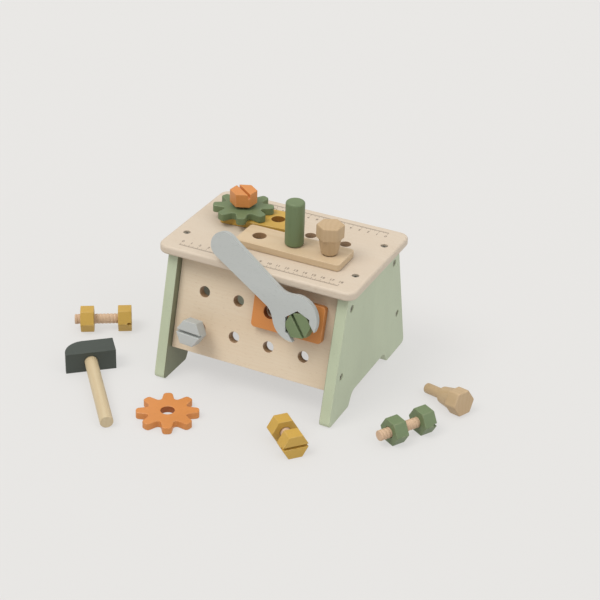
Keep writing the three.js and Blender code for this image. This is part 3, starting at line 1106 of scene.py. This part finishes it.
    def peg_panel(self, name: str, node: str, sign: int) -> None:
        """Models one sloped panel with its two rows of holes.

        Args:
            name: The piece's name.
            node: The CAD node that it stands for.
            sign: -1 for the front and 1 for the back.
        """
        low, high = (corner.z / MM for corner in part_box(node))
        width, thick = self.panel
        sin, cos = math.sin(LEAN), math.cos(LEAN)
        bottom = low + thick * sin
        place = shift(0, -self.panel_face(bottom), bottom) @ spin(-math.degrees(LEAN), "X")
        reach = (high - bottom) / cos + 10
        obj = add_box(name, (-width / 2, 0, 0), (width / 2, thick, reach))
        turn_by(obj, place)
        with editing(obj, "FACE") as mesh:
            bpy.ops.mesh.select_all(action="SELECT")
            bpy.ops.mesh.bisect(
                plane_co=(0, 0, high * MM), plane_no=(0, 0, 1), use_fill=True, clear_outer=True
            )
        bores = [
            shift(x, -self.panel_face(z), z) @ spin(90 - math.degrees(LEAN), "X")
            for z in self.panel_rows
            for x in self.columns_x()
        ]
        tools = [
            turn_by(add_bar("hole", self.hole / 2, -2 * thick, thick), bore) for bore in bores
        ]
        combine(obj, tools)
        ease(obj, self.edge)
        # painted shade on the holes' walls
        mark_bores(obj, bores, self.hole / 2)
        if sign > 0:
            turn_by(obj, spin(180, "Z"))
        hand_over(obj, "bench", [node], PANEL)

    def rail(self) -> None:
        """Models the carry rail with a tenon at each end."""
        low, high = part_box("carry_rail")
        end = (high.x - low.x) / 2 / MM
        shoulder = self.panel[0] / 2
        obj = add_bar("grip_rail", self.rail_radius, -shoulder, shoulder, 64)
        with editing(obj, "FACE") as mesh:
            for sign in (-1, 1):
                pick(mesh.faces, lambda f: f.normal.z * sign > 0.9)
                bpy.ops.mesh.inset(thickness=self.tenon_step * MM)
                bpy.ops.mesh.extrude_region_move(
                    TRANSFORM_OT_translate={"value": (0, 0, sign * (end - shoulder) * MM)}
                )
        ease(obj, self.rail_edge)
        hand_over(obj, "bench", ["carry_rail"], GREEN, spin(90, "Y"), Grain.ALONG_Z)

    def build(self) -> None:
        """Models the whole bench."""
        self.worktop()
        for way in ("left", "right"):
            self.side_panel(f"{way}_side", f"{way}_side_panel")
        self.peg_panel("front_peg_panel", "front_panel", -1)
        self.peg_panel("back_peg_panel", "back_panel", 1)
        self.rail()


@dataclass
class Ruler:
    """A printed centimetre scale with its numbers, as a film of ink on the worktop."""

    centimetres: int = 18
    baseline: float = 65.0  # from the worktop's middle
    numbers: float = 56.8  # middle of the numbers
    line: float = 0.4
    film: float = 0.04
    steps: tuple[tuple[float, float, float], ...] = ((1, 0, 1.5), (5, 1.5, 2.8), (10, 2.8, 4.2))
    size: float = 5.2
    bold: float = 0.1

    def ticks(self) -> list[bpy.types.Object]:
        """Models the baseline and the rows of ticks, along +X from the origin.

        Returns:
            The rows.
        """
        half = self.line / 2
        length = self.centimetres * 10
        rows = [add_box("line", (-half, -self.line, 0), (length + half, 0, self.film))]
        for step, start, end in self.steps:
            tick = add_box("tick", (-half, start, 0), (half, end, self.film))
            apply_modifier(
                tick,
                "ARRAY",
                count=int(length / step) + 1,
                use_relative_offset=False,
                use_constant_offset=True,
                constant_offset_displace=(step * MM, 0, 0),
            )
            rows.append(tick)
        return rows

    def labels(self) -> list[bpy.types.Object]:
        """Models the numbers.

        Returns:
            One object for each number.
        """
        made = []
        for value in range(self.centimetres + 1):
            bpy.ops.object.select_all(action="DESELECT")
            bpy.ops.object.text_add()
            text = bpy.context.object
            text.data.body = str(value)
            text.data.align_x = "CENTER"
            text.data.align_y = "CENTER"
            text.data.size = self.size * MM
            text.data.offset = self.bold * MM
            text.data.extrude = self.film / 2 * MM
            text.data.resolution_u = 3
            activate(text)
            bpy.ops.object.convert(target="MESH")
            label = bpy.context.object
            with editing(label, "VERT"):
                bpy.ops.mesh.select_all(action="SELECT")
                bpy.ops.mesh.remove_doubles(threshold=0.002 * MM)
                bpy.ops.mesh.normals_make_consistent(inside=False)
            rise = self.baseline - self.numbers
            made.append(turn_by(label, shift(value * 10, rise, self.film / 2)))
        return made

    def build(self) -> None:
        """Prints one scale at the front edge and one, turned about, at the back edge."""
        low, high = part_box("top_board")
        centre = (low + high) / 2 / MM
        scale = merge([*self.ticks(), *self.labels()])
        turn_by(scale, shift(-self.centimetres * 5, -self.baseline, 0))
        scale.name = "front_scale"
        back = copy_of(scale, "back_scale")
        turn_by(back, spin(180, "Z"))
        for obj in (scale, back):
            turn_by(obj, shift(centre.x, centre.y, high.z / MM))
            obj.data.materials.append(INK.material(f"{obj.name}_ink", low, Matrix.Identity(4)))
            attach(obj, "bench")
            log.info("%s: %d faces", obj.name, len(obj.data.polygons))


@dataclass
class Plate:
    """A flat plate with round corners and a row of holes."""

    name: str
    node: str
    body: str
    holes: int
    finish: Finish
    turn: Matrix = field(default_factory=lambda: Matrix.Identity(4))
    width: float = 39.4
    thickness: float = 7.5
    corner: float = 4
    hole: float = 14.5
    pitch: float = 40
    end: float = 19.7
    edge: float = 0.7

    def build(self) -> None:
        """Models the plate and sets it in place."""
        reach = (self.holes - 1) * self.pitch / 2
        x, y, z = reach + self.end, self.width / 2, self.thickness / 2
        obj = add_box(self.name, (-x, -y, -z), (x, y, z))
        round_edges(obj, lambda e: edge_runs(e, 2), self.corner, 6)
        bores = [shift(i * self.pitch - reach) for i in range(self.holes)]
        tools = [
            turn_by(add_bar("hole", self.hole / 2, -2 * z, 2 * z), bore) for bore in bores
        ]
        combine(obj, tools)
        ease(obj, self.edge)
        # painted shade on the holes' walls
        mark_bores(obj, bores, self.hole / 2)
        hand_over(obj, self.body, [self.node], self.finish, self.turn)


def round_corners(corners: Sequence[tuple[float, float, float]], steps: int) -> list[Vector]:
    """A closed outline with each corner rounded by a curve.

    Args:
        corners: x, y and radius of each corner, in millimetres.
        steps: Steps in each rounded corner.

    Returns:
        The outline's points, in millimetres.
    """
    points = []
    count = len(corners)
    for i, (x, y, radius) in enumerate(corners):
        here = Vector((x, y))
        ends = []
        for other in (corners[i - 1], corners[(i + 1) % count]):
            way = Vector(other[:2]) - here
            ends.append(here + way.normalized() * min(radius, way.length * 0.48))
        for step in range(steps + 1):
            t = step / steps
            points.append((1 - t) ** 2 * ends[0] + 2 * t * (1 - t) * here + t * t * ends[1])
    return points


def circle_points(radius: float, sides: int, start: float = 0) -> list[Vector]:
    """Points on a circle round the origin.

    Args:
        radius: The circle's radius.
        sides: How many points there are.
        start: Angle of the first point, in radians.

    Returns:
        The points.
    """
    angles = (start + 2 * math.pi * i / sides for i in range(sides))
    return [Vector((radius * math.cos(a), radius * math.sin(a))) for a in angles]


def flat_piece(
    name: str, outlines: Sequence[Sequence[Vector]], thickness: float, edge: float
) -> bpy.types.Object:
    """A flat piece from a closed curve, with round edges and open holes.

    Args:
        name: The object's name.
        outlines: The outer outline and the holes' outlines, in millimetres.
        thickness: The piece's thickness, in millimetres.
        edge: Radius of its edges, in millimetres.

    Returns:
        The piece, centred in height on the origin.
    """
    data = bpy.data.curves.new(name, "CURVE")
    data.dimensions = "2D"
    data.fill_mode = "BOTH"
    data.extrude = (thickness / 2 - edge) * MM
    data.bevel_depth = edge * MM
    data.bevel_resolution = 2
    data.offset = -edge * MM
    for outline in outlines:
        spline = data.splines.new("POLY")
        spline.points.add(len(outline) - 1)
        for point, spot in zip(spline.points, outline):
            point.co = (spot.x * MM, spot.y * MM, 0, 1)
        spline.use_cyclic_u = True
    obj = bpy.data.objects.new(name, data)
    bpy.context.scene.collection.objects.link(obj)
    activate(obj)
    bpy.ops.object.convert(target="MESH")
    obj = bpy.context.object
    with editing(obj, "VERT"):
        bpy.ops.mesh.select_all(action="SELECT")
        bpy.ops.mesh.remove_doubles(threshold=0.01 * MM)
        bpy.ops.mesh.normals_make_consistent(inside=False)
    flat = [float(0.02 < abs(p.normal.z) < 0.98) for p in obj.data.polygons]
    mark = obj.data.attributes.new("eased", "FLOAT", "FACE")
    mark.data.foreach_set("value", flat)
    smooth(obj)
    return obj


@dataclass
class Gear:
    """A flat toy gear with eight round teeth."""

    name: str
    node: str
    body: str
    finish: Finish
    turn: float
    tip: float = 32.5
    root: float = 20.5
    teeth: int = 8
    tooth_tip: float = 9
    tooth_root: float = 13
    tip_round: float = 3.5
    root_round: float = 2.5
    bore: float = 14.5
    thickness: float = 8
    edge: float = 0.8

    def outline(self) -> list[Vector]:
        """The teeth's outline.

        Returns:
            Its points, in millimetres.
        """
        flank = (
            (self.root, self.tooth_root / 2, self.root_round),
            (self.tip, self.tooth_tip / 2, self.tip_round),
        )
        tooth = [(r, -w, c) for r, w, c in flank] + list(reversed(flank))
        corners = []
        for i in range(self.teeth):
            angle = 2 * math.pi * i / self.teeth
            cos, sin = math.cos(angle), math.sin(angle)
            corners += [(r * cos - w * sin, r * sin + w * cos, c) for r, w, c in tooth]
        return round_corners(corners, 6)

    def build(self) -> None:
        """Models the gear and sets it in place."""
        bore = circle_points(self.bore / 2, 48)
        obj = flat_piece(self.name, [self.outline(), bore], self.thickness, self.edge)
        # painted shade on the bore's wall
        mark_bores(obj, [Matrix.Identity(4)], self.bore / 2)
        hand_over(obj, self.body, [self.node], self.finish, spin(self.turn, "Z"))


@dataclass
class Bolt:
    """A wooden bolt: hexagonal head with a slot, threaded shaft, hexagonal nut."""

    name: str
    finish: Finish
    turn: float = 0
    flats: float = 25.6
    thickness: float = 15
    slot: tuple[float, float] = (2.8, 4.5)
    shaft: float = 11.2
    thread: float = 0.6
    pitch: float = 4
    run_out: float = 2  # over which the thread fades in from each end
    plain_end: float = 1
    end_round: float = 0.9
    steps: int = 9  # rings in each turn of the thread
    bore: float = 11.8
    edge: float = 0.7

    def frame_turn(self) -> Matrix:
        """The turn that lays the bolt's Z axis from its nut to its head.

        Returns:
            The turn, with the bolt's X axis as the CAD model has it.
        """
        axis = node_centre(f"{self.name}_head") - node_centre(f"{self.name}_nut")
        axis.normalize()
        up = Vector((0, 0, 1))
        side = up.cross(axis) if abs(axis.z) < 0.9 else Vector((1, 0, 0))
        side.normalize()
        matrix = Matrix((side, axis.cross(side), axis)).transposed().to_4x4()
        return matrix @ spin(self.turn, "Z")

    def hexagon(self, name: str) -> bpy.types.Object:
        """Models a hexagonal block with a corner on +X, its middle on the origin.

        Args:
            name: The object's name.

        Returns:
            The block.
        """
        half = self.thickness / 2
        obj = add_bar(name, self.flats / math.sqrt(3), -half, half, 6)
        turn_by(obj, spin(30, "Z"))
        return obj

    def head(self) -> bpy.types.Object:
        """Models the head with its slot.

        Returns:
            The head.
        """
        obj = self.hexagon(f"{self.name}_hexagon")
        width, depth = self.slot
        top = self.thickness / 2
        tool = add_box("slot", (-self.flats, -width / 2, top - depth), (self.flats, width / 2, 20))
        combine(obj, [tool])
        ease(obj, self.edge)
        return obj

    def nut(self) -> bpy.types.Object:
        """Models the nut with its bore.

        Returns:
            The nut.
        """
        obj = self.hexagon(f"{self.name}_ring_nut")
        combine(obj, [add_bar("bore", self.bore / 2, -20, 20)])
        ease(obj, self.edge)
        return obj

    def threaded_shaft(self) -> bpy.types.Object:
        """Models the shaft: a bar cut into rings, whose points follow the thread.

        Returns:
            The shaft.
        """
        points = [v.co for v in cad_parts[f"{self.name}_shaft"].data.vertices]
        axis = self.frame_turn().col[2].to_3d()
        along = [p.dot(axis) for p in points]
        length = (max(along) - min(along)) / MM
        obj = add_bar(f"{self.name}_threaded_shaft", self.shaft / 2, 0, length, 40)
        round_edges(obj, lambda e: not edge_runs(e, 2), self.end_round, 2)
        with editing(obj) as mesh:
            pick(mesh.edges, lambda e: edge_runs(e, 2) and e.calc_length() > 5 * MM)
            bpy.ops.mesh.subdivide(number_cuts=int(length / self.pitch * self.steps))
        for vertex in obj.data.vertices:
            x, y, z = vertex.co / MM
            phase = (z / self.pitch - math.atan2(y, x) / (2 * math.pi)) % 1
            crest = min(1.0, 1.9 * abs(2 * phase - 1))
            from_end = min(z, length - z) - self.plain_end
            depth = self.thread * min(1.0, max(0.0, from_end / self.run_out))
            radius = math.hypot(x, y)
            if radius > self.shaft / 2 - 0.1:
                scale = 1 - depth * (1 - crest) / radius
                vertex.co.x *= scale
                vertex.co.y *= scale
        smooth(obj, 60)
        return obj

    def build(self) -> None:
        """Models head, shaft and nut and sets them in place."""
        turn = self.frame_turn()
        name = self.name
        hand_over(self.head(), name, [f"{name}_head"], self.finish, turn)
        hand_over(
            self.threaded_shaft(), name, [f"{name}_shaft"], SHAFT_WOOD, turn, Grain.ALONG_Z
        )
        hand_over(self.nut(), f"{name}_nut", [f"{name}_nut"], self.finish, turn)


@dataclass
class Peg:
    """A push-in peg: shaft, cone and hexagonal head."""

    name: str
    node: str
    body: str
    turn: Matrix
    shaft: float = 11.2
    shaft_length: float = 23.5
    cone: tuple[float, float, float] = (17.5, 23.6, 18)  # small end, large end, length
    flats: float = 25.6
    head_length: float = 15
    foot_round: float = 2.2  # radius of the cone's lower edge
    end_round: float = 1.5  # and of the shaft's end
    head_round: float = 1.5  # and of the head's edges
    tenon: float = 4  # how far the cone goes on inside the head
    edge: float = 0.6

    def build(self) -> None:
        """Models the peg and sets it in place."""
        small, large, length = self.cone
        obj = add_bar(self.name, self.shaft / 2, -self.shaft_length, 0, 64)
        with editing(obj, "FACE") as mesh:
            pick(mesh.faces, lambda f: f.normal.z > 0.9)
            rises = ((0, small / self.shaft), (length, large / small), (self.tenon, 1))
            for rise, grow in rises:
                bpy.ops.mesh.extrude_region_move(
                    TRANSFORM_OT_translate={"value": (0, 0, rise * MM)}
                )
                bpy.ops.transform.resize(value=(grow, grow, 1), center_override=(0, 0, 0))
        end = -(self.shaft_length - 1) * MM
        round_edges(obj, lambda e: edge_middle(e).z < end, self.end_round, 4)
        rim = (small / 2 - 0.5) * MM
        round_edges(
            obj,
            lambda e: abs(edge_middle(e).z) < 0.01 * MM and edge_middle(e).xy.length > rim,
            self.foot_round,
            5,
        )
        ease(obj, self.edge)
        top = length + self.head_length
        head = add_bar("head", self.flats / math.sqrt(3), length - 0.3, top, 6)
        turn_by(head, spin(30, "Z"))
        ease(head, self.head_round)
        combine(obj, [head], "UNION")
        smooth(obj)
        hand_over(obj, self.body, [self.node], PEG_WOOD, self.turn, Grain.ALONG_Z)


@dataclass
class Screwdriver:
    """A round handle on a flat-ended blade."""

    diameter: float = 20
    length: float = 49
    edge: float = 2.5
    blade: float = 8
    taper: float = 10
    tip: float = 2
    socket: float = 18.3  # depth of the blade's hole
    socket_play: float = 0.3
    flank: tuple[float, float, float] = (10, 30, 14)  # cutter's half width, drop and rise

    def build(self) -> None:
        """Models handle and blade and sets them in place."""
        obj = add_bar("driver_handle", self.diameter / 2, 0, self.length, 96)
        ring = (self.length / 2 - 1) * MM
        middle = self.length / 2 * MM
        round_edges(obj, lambda e: abs(edge_middle(e).z - middle) > ring, self.edge, 6)
        bore = self.blade / 2 + self.socket_play
        combine(obj, [add_bar("socket", bore, -5, self.socket)])
        ease(obj, 0.4)
        hand_over(obj, "screwdriver", ["screwdriver_handle"], GREEN, grain=Grain.ALONG_Z)
        low, high = (corner.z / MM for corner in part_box("screwdriver_blade"))
        blade = add_bar("driver_blade", self.blade / 2, low, high, 48)
        tools = []
        slope = math.degrees(math.atan2((self.blade - self.tip) / 2, self.taper))
        wide, drop, rise = self.flank
        for sign in (-1, 1):
            flank = add_box("flank", (-wide, 0, -drop), (wide, wide, rise))
            lean = spin(-sign * slope, "X")
            facing = Matrix.Identity(4) if sign > 0 else spin(180, "Z")
            tools.append(turn_by(flank, shift(0, sign * self.tip / 2, low) @ lean @ facing))
        for tool in tools:
            combine(blade, [tool])
        ease(blade, 0.3, 2)
        hand_over(blade, "screwdriver", ["screwdriver_blade"], GREY, grain=Grain.ALONG_Z)


@dataclass
class Wrench:
    """An open wrench that holds the green hexagon."""

    thickness: float = 6.4
    head: float = 24.5
    handle: float = 104.5
    handle_end: float = 14
    handle_neck: float = 12
    blend_angle: float = 52
    blend_start: float = 30.5
    blend_pull: float = 23.5
    offset: float = 7.6
    offset_angle: float = 121.6
    handle_angle: float = 147.9
    jaw_angle: float = -52
    jaw_width: float = 26.6
    cutter: float = 9  # half height of what cuts the throat
    mouth_cutter: float = 8  # and the mouth
    edge: float = 1.0

    def outline(self) -> list[Vector]:
        """The outline of head and handle, the handle along +X from the head's middle.

        Returns:
            Its points, in millimetres.
        """
        blend = math.radians(self.blend_angle)
        end = [
            Vector((self.handle, 0)) + p
            for p in circle_points(self.handle_end, 64, -math.pi / 2)[:33]
        ]
        start = Vector((self.blend_start, self.handle_neck))
        pull = Vector((self.blend_pull, self.handle_neck))
        stop = Vector((self.head * math.cos(blend), self.head * math.sin(blend)))
        steps = 10
        curve = [
            (1 - t) ** 2 * start + 2 * t * (1 - t) * pull + t * t * stop
            for t in (i / steps for i in range(steps))
        ]
        turns = 72
        sweep = 2 * math.pi - 2 * blend
        arc = [
            Vector((self.head * math.cos(a), self.head * math.sin(a)))
            for a in (blend + sweep * i / turns for i in range(turns + 1))
        ]
        mirror = [Vector((p.x, -p.y)) for p in reversed(curve)]
        return [*end, *curve, *arc, *mirror]

    def build(self) -> None:
        """Models the wrench and sets it in place."""
        obj = flat_piece("open_wrench", [self.outline()], self.thickness, 0.05)
        offset = math.radians(self.offset_angle)
        place = shift(self.offset * math.cos(offset), self.offset * math.sin(offset))
        turn_by(obj, place @ spin(self.handle_angle, "Z"))
        half = self.jaw_width / 2
        reach = self.jaw_width / math.sqrt(3)
        throat = add_bar("throat", reach, -self.cutter, self.cutter, 6)
        turn_by(throat, spin(self.jaw_angle, "Z"))
        deep = self.mouth_cutter
        mouth = add_box("mouth", (0, -half, -deep), (2 * self.head, half, deep))
        turn_by(mouth, spin(self.jaw_angle, "Z"))
        combine(obj, [throat])
        combine(obj, [mouth])
        obj.data.attributes.remove(obj.data.attributes["eased"])
        ease(obj, self.edge)
        hand_over(obj, "wrench", ["wrench"], GREY, spin(90 - math.degrees(LEAN), "X"))


@dataclass
class Hammer:
    """A square-headed hammer with one curved end, lying on the floor."""

    turn: float = 40.8
    head: float = 24
    length: float = 54
    curve: float = 21
    handle: float = 14
    reach: float = 109
    eye_play: float = 0.3
    head_edge: float = 0.8
    handle_edge: float = 0.9

    def build(self) -> None:
        """Models head and handle and sets them in place."""
        tilt = math.degrees(math.atan2((self.head - self.handle) / 2, self.reach))
        turn = spin(self.turn, "Z") @ spin(tilt, "X")
        middle = Vector((0, (self.head - self.reach) / 2, self.head / 2)) * MM
        origin = node_centre("hammer_handle") - turn.to_3x3() @ middle
        half = self.length / 2
        obj = add_box("hammer_block", (-half, 0, 0), (half, self.head, self.head))
        round_edges(
            obj,
            lambda e: edge_runs(e, 2) and edge_middle(e).x < 0 and edge_middle(e).y > MM,
            self.curve,
            16,
        )
        eye = add_bar("eye", self.handle / 2 + self.eye_play, -5, 40, 64)
        turn_by(eye, shift(0, 30, self.head / 2) @ spin(90, "X"))
        combine(obj, [eye])
        ease(obj, self.head_edge)
        hand_over(obj, "hammer", ["hammer_head"], SLATE, turn, origin=origin)
        bar = add_bar("hammer_grip", self.handle / 2, 0, self.head + self.reach, 64)
        ease(bar, self.handle_edge)
        along = turn @ spin(90, "X")
        hand_over(bar, "hammer", ["hammer_handle"], HANDLE_WOOD, along, Grain.ALONG_Z)


# ---- set, light and camera --------------------------------------------------------------


@dataclass
class Studio:
    """Pale floor, soft light and the camera."""

    floor_half: float = 6.0
    floor_drop: float = 0.0002  # just under the soles, so that the two don't flicker
    floor_colour: tuple[float, float, float] = (0.165, 0.163, 0.16)
    floor_glow: tuple[float, float, float] = (0.57, 0.56, 0.548)
    camera_place: tuple[float, float, float] = (0.6198, -1.2222, 0.8874)
    azimuth: float = 24.93
    elevation: float = 29.84
    roll: float = 2.0
    lens: float = 91.62
    lamps: tuple = (  # name, turn, power, spread, colour
        ("key", (32, 0, -35), 1.45, 30, (1.0, 0.98, 0.95)),
        ("fill", (60, 0, 78), 0.65, 50, (0.93, 0.97, 1.0)),
    )

    def floor(self) -> None:
        """Lays the floor."""
        bpy.ops.object.select_all(action="DESELECT")
        bpy.ops.mesh.primitive_plane_add(size=2 * self.floor_half, location=(0, 0, -self.floor_drop))
        floor = bpy.context.object
        floor.name = "floor"
        material = bpy.data.materials.new("floor_paper")
        material.use_nodes = True
        shader = material.node_tree.nodes["Principled BSDF"]
        shader.inputs["Base Color"].default_value = (*self.floor_colour, 1)
        shader.inputs["Roughness"].default_value = 0.85
        shader.inputs["Emission Color"].default_value = (*self.floor_glow, 1)
        shader.inputs["Emission Strength"].default_value = 1.0
        floor.data.materials.append(material)

    def light(self) -> None:
        """Sets a bright sky and a broad key light from the left."""
        world = bpy.data.worlds.new("soft_sky")
        bpy.context.scene.world = world
        world.use_nodes = True
        graph = Graph(world.node_tree)
        way = graph.add("ShaderNodeTexCoord").outputs["Generated"]
        height = graph.add("ShaderNodeSeparateXYZ", {0: way}).outputs["Z"]
        sky = world.node_tree.nodes["Background"]
        low, high = (0.30, 0.31, 0.32, 1), (1.1, 1.1, 1.08, 1)
        graph.feed(sky.inputs["Color"], graph.blend(graph.ramp(height, 0.0, 0.9), low, high))
        sky.inputs["Strength"].default_value = 0.9
        for name, turn, power, spread, colour in self.lamps:
            data = bpy.data.lights.new(name, "SUN")
            data.energy = power
            data.angle = math.radians(spread)
            data.color = colour
            lamp = bpy.data.objects.new(name, data)
            lamp.rotation_euler = [math.radians(a) for a in turn]
            bpy.context.scene.collection.objects.link(lamp)

    def camera(self) -> None:
        """Sets up the camera."""
        data = bpy.data.cameras.new("camera")
        data.lens = self.lens
        data.sensor_width = 36
        camera = bpy.data.objects.new("camera", data)
        turn = (
            spin(self.azimuth, "Z") @ spin(90 - self.elevation, "X") @ spin(self.roll, "Z")
        )
        camera.matrix_world = Matrix.Translation(self.camera_place) @ turn
        bpy.context.scene.collection.objects.link(camera)
        bpy.context.scene.camera = camera

    def build(self) -> None:
        """Builds the set."""
        self.camera()
        self.floor()
        self.light()
        bpy.context.scene.view_settings.view_transform = "Standard"


def main() -> None:
    """Builds every piece, in order."""
    logging.basicConfig(level=logging.INFO, format="%(message)s")
    on_panel = spin(90 - math.degrees(LEAN), "X")
    yellow_turn = 5
    standing_peg_turn = 25
    loose_peg_turn = -25.3
    span = Peg.shaft_length + Peg.cone[2]  # the lying peg rests on its shaft's end and its head
    peg_tilt = math.degrees(math.atan2((Peg.flats - Peg.shaft) / 2, span))
    parts = [
        Studio(),
        Bench(),
        ScrewSet(),
        Ruler(),
        Plate("yellow_bar", "yellow_plate", "yellow_plate", 2, YELLOW, spin(yellow_turn, "Z")),
        Plate("beech_bar", "natural_plate", "natural_plate", 3, BEECH),
        Plate("orange_bar", "orange_plate", "orange_plate", 2, ORANGE, on_panel),
        Gear("green_cog", "green_gear", "green_gear", GREEN, 22.5),
        Gear("orange_cog", "orange_gear", "orange_gear", ORANGE, 29),
        Bolt("orange_bolt", ORANGE, -37),
        Bolt("green_bolt", GREEN, -52),
        Bolt("grey_bolt", GREY, -3),
        Bolt("long_yellow_bolt", YELLOW),
        Bolt("short_yellow_bolt", YELLOW),
        Bolt("loose_green_bolt", GREEN),
        Peg("standing_peg", "hex_peg", "hex_peg", spin(standing_peg_turn, "Z")),
        Peg(
            "lying_peg",
            "loose_peg",
            "loose_peg",
            spin(loose_peg_turn, "Z") @ spin(90 - peg_tilt, "Y") @ spin(90, "Z"),
        ),
        Screwdriver(),
        Wrench(),
        Hammer(),
    ]
    for part in parts:
        part.build()


if __name__ == "__main__":
    main()
